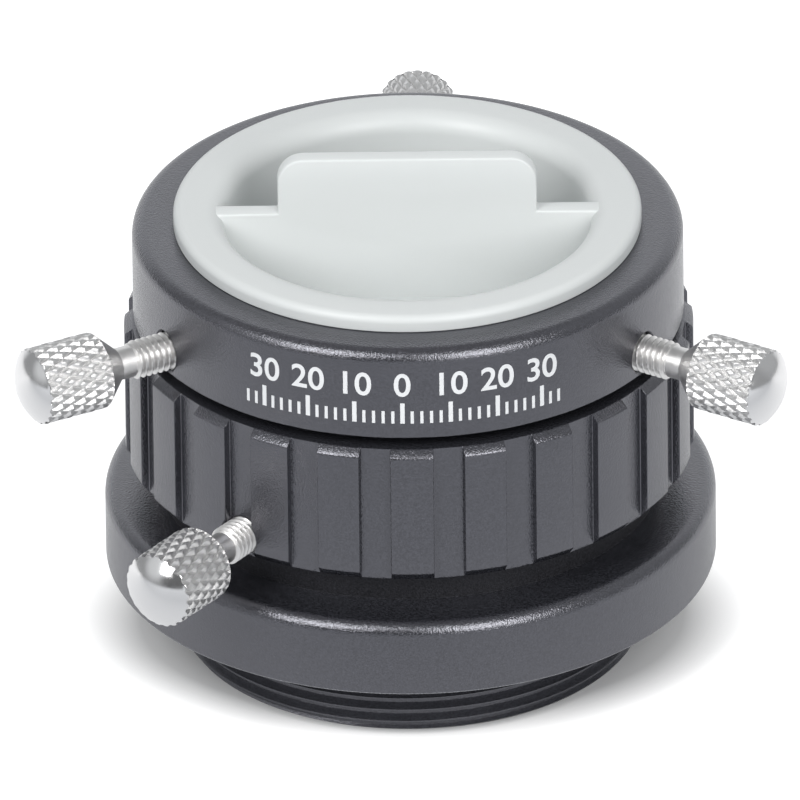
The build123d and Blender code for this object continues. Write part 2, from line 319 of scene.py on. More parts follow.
def threaded_piece(name, radius_at, low, high, pitch, crest_height, back_outline, angle, material):
    """A closed sleeve: a threaded skin, and back_outline of (radius, height) points carried round from
    the skin's top end to its bottom end."""
    points, faces = threaded_skin(radius_at, low, high, pitch, crest_height, angle)
    top = turned(radius_at(np.full_like(angle, high), angle), high, angle)
    bottom = turned(radius_at(np.full_like(angle, low), angle), low, angle)
    back = turned(back_outline[:, :1], back_outline[:, 1:], angle[None])
    sleeve = np.concatenate([top[None], back, bottom[None]])
    sleeve_faces = grid_faces(len(sleeve), len(angle), start=len(points))
    vertices = np.concatenate([points, sleeve.reshape(-1, 3)])
    return mesh_object(name, vertices, np.concatenate([faces, sleeve_faces]), material, 25.0)


print("rows for each pitch of a thread:", len(thread_rows))

# %% [markdown]
# ## Finishes
# Every finish is procedural and sits on the pieces' own coordinates, in metres, so it turns and slides
# with its piece. A noise texture's scale counts cells per metre: 180 gives patches 5 mm wide, and 6500
# gives a grain of 0.15 mm. A few helpers keep each finish to a handful of lines.

# %% Node helpers
def new_material(name):
    """A node material, its shader and a coordinate output to build on."""
    material = bpy.data.materials.new(name)
    material.use_nodes = True
    tree = material.node_tree
    shader = tree.nodes["Principled BSDF"]
    where = tree.nodes.new("ShaderNodeTexCoord").outputs["Object"]
    return material, tree, shader, where


def noise(tree, where, scale, detail, roughness=0.55):
    """A noise texture's value, from 0 to 1, mostly near the middle."""
    texture = tree.nodes.new("ShaderNodeTexNoise")
    texture.inputs["Scale"].default_value = scale
    texture.inputs["Detail"].default_value = detail
    texture.inputs["Roughness"].default_value = roughness
    tree.links.new(where, texture.inputs["Vector"])
    return texture.outputs["Fac"]


def ramp(tree, value, low, high, to_low, to_high):
    """Maps a value from low..high to to_low..to_high, clamped."""
    node = tree.nodes.new("ShaderNodeMapRange")
    for socket, number in zip(("From Min", "From Max", "To Min", "To Max"), (low, high, to_low, to_high)):
        node.inputs[socket].default_value = number
    tree.links.new(value, node.inputs["Value"])
    return node.outputs["Result"]


def colour_mix(tree, factor, first, second):
    """A colour between two, by a factor."""
    node = tree.nodes.new("ShaderNodeMix")
    node.data_type = "RGBA"
    tree.links.new(factor, node.inputs["Factor"])
    node.inputs["A"].default_value = (*first, 1)
    node.inputs["B"].default_value = (*second, 1)
    return node.outputs["Result"]


def combined(tree, operation, first, second):
    """One value from two, by a Math node."""
    node = tree.nodes.new("ShaderNodeMath")
    node.operation = operation
    tree.links.new(first, node.inputs[0])
    tree.links.new(second, node.inputs[1])
    return node.outputs["Value"]


def bump(tree, shader, height, strength, distance):
    """Bends the shader's normals by a height pattern. distance is its depth in metres."""
    node = tree.nodes.new("ShaderNodeBump")
    node.inputs["Strength"].default_value = strength
    node.inputs["Distance"].default_value = distance
    tree.links.new(height, node.inputs["Height"])
    tree.links.new(node.outputs["Normal"], shader.inputs["Normal"])


# %% [markdown]
# ### Black anodising
# Aluminium is blasted with fine beads and then anodised, which grows a dark glassy oxide on it. It
# could be a plain black with some roughness, but the real coat shows a grain: specks darker and lighter
# than the coat, and a faint relief. Both come from one fine noise, and a coarser one drifts the sheen.
# The oxide reflects more than paint does: its index of refraction is 1.67, with a slightly blue tint.
#
# The collar under the ring gets a darker, duller copy of the coat that hardly shines: painted shade for the
# dim gap under the ring. The flange's lower edge, on which it is set down and screwed home, gets a thin
# paler line: a painted highlight for the light that edge catches.

# %% Black anodising
def anodised(name, tone, roughness, grain=1.0):
    """A dark coat: specks from 0.4 to 1.6 times the tone, a roughness that drifts by 0.03 either way,
    and a relief 0.04 mm deep times grain."""
    material, tree, shader, where = new_material(name)
    drift = noise(tree, where, 180.0, 4.0)
    speck = noise(tree, where, 6500.0, 2.0, 0.6)
    dark, light = tuple(0.4 * t for t in tone), tuple(1.6 * t for t in tone)
    contrast = ramp(tree, speck, 0.36, 0.64, 0.0, 1.0)
    tree.links.new(colour_mix(tree, contrast, dark, light), shader.inputs["Base Color"])
    sheen = ramp(tree, drift, 0.3, 0.7, roughness - 0.03, roughness + 0.03)
    tree.links.new(sheen, shader.inputs["Roughness"])
    shader.inputs["IOR"].default_value = 1.67
    shader.inputs["Specular IOR Level"].default_value = 1.0
    shader.inputs["Specular Tint"].default_value = (0.92, 0.918, 1.0, 1)
    bump(tree, shader, speck, grain, 0.04 * MM)
    return material


coat, coat_roughness = (0.020, 0.0205, 0.0245), 0.18
black = anodised("black anodised", coat, coat_roughness)
black_ring = anodised("black anodised ring", coat, coat_roughness)
black_head = anodised("black anodised head", coat, coat_roughness)
black_tube = anodised("black anodised tube", (0.024, 0.025, 0.029), 0.30, 0.6)
# Painted shade: a darker copy of the coat, with little shine, for the collar in the dim gap under the ring.
black_collar_painted_shade = anodised("black collar painted shade", (0.012, 0.012, 0.014), 0.5)
black_collar_painted_shade.node_tree.nodes["Principled BSDF"].inputs["Specular IOR Level"].default_value = 0.25
# Painted highlight: a much paler copy of the coat for the thin light line along the flange's lower edge.
painted_highlight_edge = anodised("black edge painted highlight", (0.22, 0.222, 0.235), 0.3)
print("black finishes made, the coat's tone is", coat)

# %% [markdown]
# ### Plated and bare metal
# A metal's colour is the colour of its reflection. The screws are nickel plated: their domes are
# polished almost to a mirror, while the knurl and the stud come out of the bath duller. The clip and
# the guide screw are oiled steel and the clamp ring is turned brass. All take a slight mottle.

# %% Metals
def plated(name, tone, roughness, marks):
    """A metal whose roughness goes from 0.8 to 1.25 times its value with a mottle 0.4 mm wide, which
    is also its relief: 0.01 mm deep times marks."""
    material, tree, shader, where = new_material(name)
    mottle = noise(tree, where, 2500.0, 3.0)
    shader.inputs["Base Color"].default_value = (*tone, 1)
    shader.inputs["Metallic"].default_value = 1.0
    polish = ramp(tree, mottle, 0.3, 0.7, roughness * 0.8, roughness * 1.25)
    tree.links.new(polish, shader.inputs["Roughness"])
    bump(tree, shader, mottle, marks, 0.01 * MM)
    return material


nickel = plated("nickel knurl", (0.73, 0.725, 0.72), 0.42, 0.25)
dome_nickel = plated("nickel polished", (0.77, 0.765, 0.765), 0.15, 0.05)
stud_nickel = plated("nickel stud", (0.76, 0.75, 0.74), 0.38, 0.2)
steel = plated("oiled steel", (0.42, 0.42, 0.43), 0.32, 0.3)
brass = plated("turned brass", (0.86, 0.68, 0.36), 0.42, 0.08)
print("metals:", nickel.name, dome_nickel.name, stud_nickel.name, steel.name, brass.name)

# %% [markdown]
# ### Plastic and ink
# The cap is a soft grey plastic with the satin skin of its mould. Its web is thin and lets a little
# light through, so it looks a shade paler than the dish: that paleness is painted light, a paler copy of the
# same plastic. Subsurface scattering could do that, but a paler tone is simpler. The washer is a slippery
# white sheet.

# %% Plastics
def moulded(name, tone, roughness):
    """Satin moulded plastic: patches 11 mm wide from 0.985 to 1.012 times the tone, with a roughness
    that follows them by 0.03 either way, and a very fine texture."""
    material, tree, shader, where = new_material(name)
    texture = noise(tree, where, 5200.0, 2.0)
    patch = noise(tree, where, 90.0, 3.0)
    dark, light = tuple(0.985 * t for t in tone), tuple(1.012 * t for t in tone)
    tree.links.new(colour_mix(tree, patch, dark, light), shader.inputs["Base Color"])
    sheen = ramp(tree, patch, 0.3, 0.7, roughness - 0.03, roughness + 0.03)
    tree.links.new(sheen, shader.inputs["Roughness"])
    bump(tree, shader, texture, 0.12, 0.01 * MM)
    return material


grey_plastic = moulded("grey plastic", (0.62, 0.64, 0.635), 0.42)
# Painted light: the web's paler tone stands in for light passing through the thin plastic.
web_plastic_painted_glow = moulded("grey plastic web painted glow", (0.66, 0.682, 0.677), 0.42)
slippery_sheet = moulded("slippery sheet", (0.85, 0.85, 0.84), 0.45)
print("plastics:", grey_plastic.name, web_plastic_painted_glow.name, slippery_sheet.name)


# %% Ink
def printed(name, tone):
    """Screen-printed ink: matt, with a film that is uneven in tone by 6% and faintly in height."""
    material, tree, shader, where = new_material(name)
    film = noise(tree, where, 6000.0, 2.0)
    thin_film = tuple(0.94 * t for t in tone)
    tree.links.new(colour_mix(tree, film, thin_film, tone), shader.inputs["Base Color"])
    shader.inputs["Roughness"].default_value = 0.5
    bump(tree, shader, film, 0.15, 0.005 * MM)
    return material


white_ink = printed("white ink", (0.78, 0.79, 0.80))
print("materials:", len(bpy.data.materials))

# %% [markdown]
# ## The flange and its thread
# The flange is one turned piece: a fat disc with a rounded top edge, and the collar that the focus
# ring turns on, with a groove for the spring clip. Underneath, a fine female thread lines the socket.
# The disc and the thread are two skins, because a thread wants rows that climb and the rest doesn't.

# %% Flange body
socket_minor, socket_major = 20.6 * MM, 21.0 * MM
collar_radius, base_bore = 19.3 * MM, 18.15 * MM
flange_top, socket_depth = 6.05 * MM, 4.6 * MM
clip_low, clip_high = heights("retaining_clip")
clip_groove, notch = 0.36 * MM, 0.02 * MM
outline = rounded(
    [
        (socket_major + 0.35 * MM, flange_bottom),
        (flange_radius, flange_bottom),
        (flange_radius, flange_top),
        (collar_radius, flange_top),
        (collar_radius, clip_low - notch),
        (collar_radius - clip_groove, clip_low - notch),
        (collar_radius - clip_groove, clip_high + notch),
        (collar_radius, clip_high + notch),
        (collar_radius, collar_top),
        (base_bore, collar_top),
        (base_bore, socket_depth),
        (socket_major + 0.05 * MM, socket_depth),
        (socket_major + 0.05 * MM, flange_bottom + 0.3 * MM),
    ],
    np.array([0.05, 0.22, 1.05, 0.02, 0.05, 0, 0, 0.05, 0.2, 0.2, 0.15, 0.05, 0.05]) * MM,
    steps=9,
)
flange_body = turned_ring("flange_body", outline, black, columns=320, smooth_angle=30)
guide_low, guide_high = heights("guide_screw")
guide_height, guide_hole = (guide_low + guide_high) / 2, 1.02 * MM
drill(flange_body, 180.0, guide_height, guide_hole, collar_radius, sink=0.12 * MM, depth=2.5 * MM)

# %% The collar's painted shade and the lower edge's painted highlight
edge_light_width, edge_light_height = 0.12 * MM, 0.14 * MM
centres = face_centres(flange_body)
from_axis = np.hypot(centres[:, 0], centres[:, 1])
# Painted shade: the collar's faces above the flange top take the darker coat.
painted_collar_shade = (from_axis < collar_radius + 0.01 * MM) & (centres[:, 2] > flange_top)
# Painted highlight: the faces at the flange's lower outer edge take the paler coat.
painted_edge_light = (from_axis > flange_radius - edge_light_width) & (centres[:, 2] < flange_bottom + edge_light_height)
finish_faces(flange_body, painted_collar_shade + 2 * painted_edge_light, (black_collar_painted_shade, painted_highlight_edge))
print("greased faces:", painted_collar_shade.sum(), "rubbed faces:", painted_edge_light.sum())

# %% Socket thread
fine_pitch, socket_crest = 0.75 * MM, 0.4 * MM
socket_low, socket_high = flange_bottom + 0.3 * MM, socket_depth - 0.2 * MM
socket_wall = socket_major + 0.1 * MM


def socket_radius(height, angle):
    """The female thread: crests point inward to the minor radius, roots reach out to the major one."""
    return thread_radius(height, angle, socket_minor, socket_major, fine_pitch, socket_crest)


socket_thread = threaded_piece(
    "socket_thread",
    socket_radius,
    socket_low,
    socket_high,
    fine_pitch,
    socket_crest,
    np.array([(socket_wall, socket_high), (socket_wall, socket_low)]),
    np.linspace(0, TAU, 240, endpoint=False),
    black,
)
for piece in (flange_body, socket_thread):
    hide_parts("base_flange")
    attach(piece, "base")

# %% [markdown]
# ## The small hidden parts
# The washer, the spring clip, the guide screw and the brass clamp ring are plain shapes that hardly
# show. Their solids are already right, so they keep their CAD shape and only get a finish.

# %% Small parts
for node, finish, slot_name in (
    ("thrust_washer", slippery_sheet, "ptfe"),
    ("retaining_clip", steel, "spring_steel"),
    ("guide_screw", steel, "spring_steel"),
    ("compression_ring", brass, "brass"),
):
    nodes[node].data.materials.clear()
    nodes[node].data.materials.append(finish)
    print(node, "is", finish.name)

# %% [markdown]
# ## The ribbed focus ring
# Twenty-four ribs with flat-bottomed milled grooves between them. An Array modifier could repeat one
# groove, but its seams would show where the chamfers run round. So the whole ring is one grid. Going
# round, the radius steps from the groove floor up a steep wall to the rib's face. Going up, it is
# limited by the chamfer at each end. The smaller of the two is the surface, and the extra columns and
# rows beside each corner break its edge.

# %% Ribs and grooves going round
rib_count, rib_phase = 24, 0.3
groove_radius, groove_half_width = 21.27 * MM, 1.17 * MM
half_pitch = 180.0 / rib_count
corner = math.degrees(math.asin(groove_half_width / groove_radius))
wall = corner + np.array([-0.12, 0, 0.03, 0.09, 0.18])
offsets = np.array([0, 0.8, 1.6, *wall, 4.6, 6.0, half_pitch])  # degrees from a groove's middle
rise = np.array([0, 0, 0, 0, 0.10, 0.80, 0.955, 1, 1, 1, 1])  # 0 on the groove's floor, 1 on the rib
offsets = np.concatenate([-offsets[:0:-1], offsets[:-1]])
rise = np.concatenate([rise[:0:-1], rise[:-1]])
groove_centre = rib_phase + half_pitch + 2 * half_pitch * np.arange(rib_count)
rib_angle = np.radians((groove_centre[:, None] + offsets[None]).ravel())
on_floor = np.clip(np.abs(np.tile(offsets, rib_count)), 0, corner)
floor_radius = groove_radius / np.cos(np.radians(on_floor))
face_radius = floor_radius + (rib_radius - floor_radius) * np.tile(rise, rib_count)
print("columns round the ring:", len(rib_angle))

# %% Ring skin and lining
seat_radius, thread_clear, land_radius = 19.40 * MM, 18.05 * MM, 20.6 * MM
foot_levels = [(0.00, 21.20), (0.03, 21.25), (0.08, 21.30), (0.30, 21.52), (0.72, 21.865), (0.80, 21.915)]
face_levels = [(0.90, 21.93), (2.5, 21.93), (5.7, 21.93), (9.0, 21.93), (10.74, 21.93), (10.85, 21.912)]
top_levels = [(10.94, 21.85), (11.15, 21.60), (11.33, 21.36), (11.38, 21.29), (11.41, 21.21)]
levels = MM * np.array(foot_levels + face_levels + top_levels)  # height above the foot, largest radius
level_height = ring_bottom + levels[:, :1] * (ring_top - ring_bottom) / levels[-1, 0]
skin = turned(np.minimum(face_radius[None], levels[:, 1:]), level_height, rib_angle[None])
lining = rounded(
    [
        (land_radius, ring_top),
        (thread_clear, ring_top),
        (thread_clear, washer_top),
        (seat_radius, washer_top),
        (seat_radius, ring_bottom),
        (land_radius, ring_bottom),
    ],
    np.array([0, 0.35, 0.1, 0, 0.15, 0]) * MM,
    steps=5,
)
lining_points = turned(lining[:, :1], lining[:, 1:], rib_angle[None])
points = np.concatenate([skin, lining_points])
ring_faces = grid_faces(len(points), len(rib_angle), loop=True)
ribbed_ring = mesh_object("ribbed_ring", points.reshape(-1, 3), ring_faces, black_ring, 30)

# %% The lock screw's hole
joints = {joint["name"]: joint for joint in record["behaviour"]["joints"]}


def azimuth_of(joint):
    """The azimuth in degrees of a joint's axis, from the front towards +X."""
    x, y, _ = joints[joint]["axis"]
    return math.degrees(math.atan2(x, -y))


stud_hole = 1.56 * MM
lock_low, lock_high = heights("lock_screw")
lock_height, lock_azimuth = (lock_low + lock_high) / 2, azimuth_of("lock_travel")
drill(ribbed_ring, lock_azimuth, lock_height, stud_hole, rib_radius, sink=0.22 * MM, depth=3.2 * MM)
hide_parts("focus_ring")
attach(ribbed_ring, "focus_ring")

# %% [markdown]
# ## The focusing thread
# The tube carries the M36 x 1 thread from its end up to the head, and turning the ring on it moves the
# eyepiece. At the back, a straight slot for the guide screw is cut through the crests. It is part of
# the radius too: inside the slot the radius is that of its floor, and columns close to both of its
# edges keep the walls steep.

# %% The tube's surface
pitch = 1.0 * MM
tube_root = tube_radius - 0.60 * MM
crest_height = -5.49 * MM  # where a crest passes the front
end_radius = 17.50 * MM  # the tube's end face, from which a 45 degree chamfer rises
slot_floor, slot_half, slot_low, slot_high = 16.8 * MM, 0.85 * MM, 0.52 * MM, 8.22 * MM
thread_top = head_bottom + 0.15 * MM


def tube_surface(height, angle):
    """The male thread, limited by the chamfer at the tube's end and by the slot at the back."""
    radius = thread_radius(height, angle, tube_radius, tube_root, pitch, crest_height)
    radius = np.minimum(radius, end_radius + (height - tube_bottom))
    across = np.abs(radius * np.sin(angle))
    in_slot = (np.cos(angle) < 0) & (across < slot_half) & (height > slot_low) & (height < slot_high)
    return np.where(in_slot, slot_floor, radius)


# %% Threaded tube
slot_edge = math.asin(slot_half / tube_radius)
half_slot = np.array([0.5, 0.94, 0.98, 1.02, 1.06, 1.25])
near_slot = math.pi + slot_edge * np.concatenate([-half_slot[::-1], [0], half_slot])
even = np.linspace(0, TAU, 240, endpoint=False)
clear_of_slot = even[np.abs(even - math.pi) > 1.3 * slot_edge]
tube_angle = np.sort(np.concatenate([clear_of_slot, near_slot]))
tube_back = rounded(
    [
        (17.2 * MM, thread_top),
        (bore_radius, thread_top),
        (bore_radius, tube_bottom),
        (17.3 * MM, tube_bottom),
    ],
    np.array([0, 0, 0.35, 0]) * MM,
    steps=6,
)
focus_thread = threaded_piece(
    "focus_thread",
    tube_surface,
    tube_bottom,
    thread_top,
    pitch,
    crest_height,
    tube_back,
    tube_angle,
    black_tube,
)

# %% [markdown]
# ## The seat in the head
# Above its thread the tube is plain: it is a press fit in the head, with a groove inside for the brass
# ring. The clamp screws reach the brass ring through three holes.

# %% Seat
seat_outer, brass_groove, groove_room = 17.95 * MM, 16.7 * MM, 0.2 * MM
stud_clearance_hole, past_seat = 1.62 * MM, 18.3 * MM
clamp_low, clamp_high = heights("compression_ring")
seat = rounded(
    [
        (bore_radius, thread_top),
        (seat_outer, thread_top),
        (seat_outer, tube_top),
        (bore_radius, tube_top),
        (bore_radius, clamp_high + groove_room),
        (brass_groove, clamp_high + groove_room),
        (brass_groove, clamp_low - groove_room),
        (bore_radius, clamp_low - groove_room),
    ],
    np.array([0, 0, 0, 0.2, 0.05, 0.05, 0.05, 0.05]) * MM,
    steps=4,
)
tube_seat = turned_ring("tube_seat", seat, black_tube, columns=240, smooth_angle=30)
clamp_height = (clamp_low + clamp_high) / 2
clamp_joints = ("clamp_left_travel", "clamp_right_travel", "clamp_back_travel")
for joint in clamp_joints:
    place = azimuth_of(joint), clamp_height
    drill(tube_seat, *place, stud_clearance_hole, past_seat, sink=0.02 * MM, depth=2.2 * MM)
for piece in (focus_thread, tube_seat):
    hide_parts("focus_tube")
    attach(piece, "holder")

# %% [markdown]
# ## The clamp head and its printed scale
# A plain turned cup with a generous rounded top edge, which carries a long highlight. Its three tapped
# holes are lightly countersunk.

# %% Clamp head
head_bore, lip_radius = 18.02 * MM, 16.10 * MM
head_outline = rounded(
    [
        (head_bore, head_bottom),
        (head_radius, head_bottom),
        (head_radius, head_top),
        (lip_radius, head_top),
        (lip_radius, tube_top),
        (head_bore, tube_top),
    ],
    np.array([0.12, 0.16, 1.05, 0.45, 0, 0]) * MM,
    steps=10,
)
head_shell = turned_ring("head_shell", head_outline, black_head, columns=360, smooth_angle=30)
for joint in clamp_joints:
    place = azimuth_of(joint), clamp_height
    drill(head_shell, *place, stud_hole, head_radius, sink=0.20 * MM, depth=4.2 * MM)
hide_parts("clamp_head")
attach(head_shell, "holder")

# %% [markdown]
# The front of the head carries plain numbers over a row of ticks, two degrees apart. An image would
# blur close up and isn't needed: each number starts as flat text with a little depth. Its x becomes an
# angle, x / radius, and its depth stays a depth, so it wraps on the wall like a film of ink.

# %% Numbers as meshes
scale_centre = math.radians(-1.5)
ink_lift, ink_depth, stroke_swell = 0.012 * MM, 0.016 * MM, 0.035 * MM


def flat_text(body, size):
    """Vertices and faces of a number, centred on x = 0 with its foot on y = 0."""
    curve = bpy.data.curves.new("number", "FONT")
    curve.body, curve.size, curve.align_x = body, size, "CENTER"
    curve.extrude, curve.offset, curve.resolution_u = ink_depth, stroke_swell, 8
    holder = new_object("number", curve)
    mesh = bpy.data.meshes.new_from_object(holder.evaluated_get(bpy.context.evaluated_depsgraph_get()))
    vertices = np.empty(len(mesh.vertices) * 3)
    mesh.vertices.foreach_get("co", vertices)
    faces = [tuple(face.vertices) for face in mesh.polygons]
    bpy.data.objects.remove(holder)
    bpy.data.meshes.remove(mesh)
    return vertices.reshape(-1, 3), faces


def wrapped(points, centre, foot):
    """Flat points on the head's wall: x runs round, y up, z outward."""
    angle = centre + points[:, 0] / head_radius
    return turned(head_radius + ink_lift + points[:, 2], foot + points[:, 1], angle)


# %% Printed scale
number_size, number_foot, tick_foot = 2.75 * MM, head_bottom + 3.75 * MM, head_bottom + 1.35 * MM
long_tick, short_tick = (0.34 * MM, 1.75 * MM), (0.24 * MM, 1.05 * MM)
ink_vertices, ink_faces, used = [], [], 0
for mark in range(-30, 31, 10):
    points, faces = flat_text(str(abs(mark)), number_size)
    ink_vertices.append(wrapped(points, scale_centre + math.radians(mark), number_foot))
    ink_faces += [tuple(used + i for i in face) for face in faces]
    used += len(points)
cube = np.array([(x, y, z) for x in (-0.5, 0.5) for y in (0, 1) for z in (-1, 1)], float)
cube_faces = np.array([(0, 1, 3, 2), (4, 6, 7, 5), (0, 4, 5, 1), (2, 3, 7, 6), (0, 2, 6, 4), (1, 5, 7, 3)])
for mark in range(-34, 35, 2):
    tick = cube * [*(short_tick if mark % 10 else long_tick), ink_depth]
    ink_vertices.append(wrapped(tick, scale_centre + math.radians(mark), tick_foot))
    ink_faces += (cube_faces + used).tolist()
    used += len(cube)
print_mesh = bpy.data.meshes.new("printed_scale")
print_mesh.from_pydata(np.concatenate(ink_vertices).tolist(), [], ink_faces)
printed_scale = new_object("printed_scale", print_mesh)
print_mesh.materials.append(white_ink)
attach(printed_scale, "holder")
print("printed faces:", len(print_mesh.polygons))

# %% [markdown]
# ## Thumbscrews
# One radius function makes a whole screw. Along the stud it is a fine thread, then a neck and a cone,
# then the grip. A knurl is pressed in by two toothed wheels that leave crossing sets of helical
# grooves, and the diamonds are what stands between them. Each set's depth is a triangle wave of its own
# phase, and the lower of the two is the surface, clipped flat where the diamonds' tops are.

# %% Screw radius
stud_length, neck_end, grip_start, grip_end = 4.3 * MM, 5.5 * MM, 7.2 * MM, 12.7 * MM
stud_radius, stud_root, stud_pitch = 1.50 * MM, 1.21 * MM, 0.5 * MM
grip_radius, dome_radius, dome_height = 3.0 * MM, 2.85 * MM, 1.1 * MM
ridges, knurl_pitch, knurl_depth, flat_from = 22, 1.95 * MM, 0.27 * MM, 0.6


def wave(phase):
    """A triangle wave: 0 on whole numbers, 1 half way between."""
    return np.abs(2 * (phase - np.round(phase)))


def screw_radius(s, angle):
    """Radius at a distance s from the tip and an angle round the screw."""
    profile_s = np.array([0, 0.30, 4.12, 4.30, 5.50, 7.14, 7.22, 7.30, 12.56, 12.66, 12.70]) * MM
    profile_r = np.array([1.15, 1.50, 1.50, 1.25, 1.25, 2.84, 2.93, 3.00, 3.00, 2.93, 2.85]) * MM
    radius = np.interp(s, profile_s, profile_r) + 0 * angle
    thread = thread_radius(s, angle, stud_radius, stud_root, stud_pitch, 0)
    radius = np.where(s < stud_length, np.minimum(radius, thread), radius)
    around = ridges * angle / TAU
    lower = np.minimum(wave(around + s / knurl_pitch), wave(around - s / knurl_pitch))
    knurled = grip_radius - knurl_depth * (1 - np.clip(lower / flat_from, 0, 1))
    return np.where((s > grip_start) & (s < grip_end), np.minimum(radius, knurled), radius)


# %% Screw surface
def screw_points():
    """The grid of one screw about the z axis, tip at 0, and its faces. The dome is an arc of a sphere:
    its radius is (r squared + h squared) / 2h for a cap of radius r and height h. Twelve columns for
    each ridge and 14 rows for each pitch of the stud keep the diamonds and the thread crisp."""
    columns = ridges * 12
    angle = np.linspace(0, TAU, columns, endpoint=False)[None]
    stud = np.arange(0, 4.30, 0.0357) * MM
    shank = np.array([4.30, 4.34, 5.2, 5.44, 5.50, 5.56, 6.3, 7.0, 7.14, 7.18, 7.22, 7.26]) * MM
    grip = np.linspace(7.30 * MM, 12.56 * MM, 84)
    edge = np.array([12.60, 12.64, 12.67, 12.70]) * MM
    s = np.concatenate([stud, shank, grip, edge])[:, None]
    skin = turned(screw_radius(s, angle), s, angle)
    sphere = (dome_radius**2 + dome_height**2) / (2 * dome_height)
    slope = np.linspace(math.asin(dome_radius / sphere), 0, 22)[1:, None]
    dome_top = grip_end + dome_height
    dome = turned(sphere * np.sin(slope), dome_top - sphere * (1 - np.cos(slope)), angle)
    tip = turned(np.array([[0], [0.6 * MM]]), 0.0, angle)
    points = np.concatenate([tip, skin, dome])
    return points.reshape(-1, 3), grid_faces(len(points), columns)


def node_points(node):
    """All vertices of a CAD node as an array."""
    found = np.empty(len(nodes[node].data.vertices) * 3, np.float32)
    nodes[node].data.vertices.foreach_get("co", found)
    return found.reshape(-1, 3).astype(float)


screw_shape, screw_faces = screw_points()
print("one screw:", len(screw_faces), "faces")

# %% [markdown]
# The four screws are alike, but each stands where its solid does: turned to its joint's axis, at its
# height, with its tip where the solid's tip is. Each gets three finishes, by the distance from its tip:
# a bright stud, a duller knurl and a polished dome.

# %% Place the screws
dome_edge = grip_end - 0.09 * MM
for joint, node in (
    ("clamp_left_travel", "clamp_screw_left"),
    ("clamp_right_travel", "clamp_screw_right"),
    ("clamp_back_travel", "clamp_screw_back"),
    ("lock_travel", "lock_screw"),
):
    direction = np.array(joints[joint]["axis"])
    tip = (node_points(node) @ direction).min()
    low, high = heights(node)
    placed = along(azimuth_of(joint), (low + high) / 2, screw_shape + np.array([0, 0, tip]))
    screw = mesh_object(f"{node}_knurled", placed, screw_faces, nickel, 30)
    from_tip = face_centres(screw) @ direction - tip
    index = (from_tip > dome_edge) + 2 * (from_tip < neck_end)
    finish_faces(screw, index, (dome_nickel, stud_nickel))
    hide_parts(node)
    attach(screw, node)

# %% [markdown]
# ## The dust cap
# A moulded dish that plugs the bore, with a rim that lies on the head. It is turned from one outline.

# %% Cap dish
plug_radius, recess_radius = 15.75 * MM, 14.10 * MM
cap_crest, cap_floor = head_top + 1.34 * MM, cap_bottom + 0.8 * MM
cap_outline = rounded(
    [
        (0, cap_bottom),
        (plug_radius, cap_bottom),
        (plug_radius, head_top),
        (cap_radius, head_top),
        (cap_radius, cap_crest),
        (recess_radius, cap_crest),
        (recess_radius, cap_floor),
        (0, cap_floor),
    ],
    np.array([0, 0.5, 0.1, 0.12, 0.65, 1.6, 0.7, 0]) * MM,
    steps=12,
)
cap_dish = turned_ring("cap_dish", cap_outline, grey_plastic, columns=360, smooth_angle=35)

# %% [markdown]
# Across the dish stands a web, whose middle rises as a tab to pull the cap out by. Its outline is drawn
# once, with the tab's two corners rounded, and given a front and a back side. A moulded wall has draft,
# so that it leaves the mould: the thickness falls evenly from foot to top. A cube and a Bevel modifier
# would do for a plain plate, but the steps beside the tab make the outline simpler.

# %% The web's outline
web_reach, tab_half_width = 14.84 * MM, 9.95 * MM
web_foot, web_top = cap_floor - 0.3 * MM, cap_crest - 0.34 * MM
foot_half_thickness, draft = 0.9 * MM, 0.2 * MM
plate = rounded(
    [
        (-web_reach, web_foot),
        (web_reach, web_foot),
        (web_reach, web_top),
        (tab_half_width, web_top),
        (tab_half_width, cap_top),
        (-tab_half_width, cap_top),
        (-tab_half_width, web_top),
        (-web_reach, web_top),
    ],
    np.array([0, 0, 0, 0, 2.0, 2.0, 0, 0]) * MM,
    steps=14,
)
raised = (plate[:, 1] - web_foot) / (cap_top - web_foot)
half_thickness = foot_half_thickness - draft * raised
print("points round the web:", len(plate))

# %% Cap web
broken_edge = 0.18 * MM
front_side = np.column_stack([plate[:, 0], -half_thickness, plate[:, 1]])
back_side = front_side * [1, -1, 1]
count = len(plate)
around = np.arange(count)
following = (around + 1) % count
sides = np.column_stack([around, around + count, following + count, following])
upper = list(range(3, count - 1))  # the tab, above the steps
lower = [0, 1, 2, 3, count - 2, count - 1]  # the web below them
plate_faces = [upper, lower, [i + count for i in upper[::-1]], [i + count for i in lower[::-1]]]
plate_mesh = bpy.data.meshes.new("cap_web")
plate_mesh.from_pydata(np.concatenate([front_side, back_side]).tolist(), [], plate_faces + sides.tolist())
shaped = bmesh.new()
shaped.from_mesh(plate_mesh)
bmesh.ops.recalc_face_normals(shaped, faces=shaped.faces)
corners = [edge for edge in shaped.edges if edge.calc_face_angle(0) > math.radians(25)]
bmesh.ops.bevel(shaped, geom=corners, offset=broken_edge, segments=3, profile=0.5, affect="EDGES")
shaped.to_mesh(plate_mesh)
shaped.free()
cap_web = new_object("cap_web", plate_mesh)
plate_mesh.materials.append(web_plastic_painted_glow)
finish_edges(cap_web, 35)
print("cap_web:", len(plate_mesh.polygons), "faces")
for piece in (cap_dish, cap_web):
    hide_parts("dust_cap")
    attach(piece, "dust_cap")

# %% [markdown]
# ## The set
# A pale floor lies under the tube's end, which is the object's foot. Each kind of ray sees its own
# version of it. Light that falls on it bounces back as from grey paper. The camera sees it white, with
# the shade kept close round the foot. Polished metal and the black coat mirror a share of that white,
# which grows towards the back: so the walls go from dark in front to pale at the sides.

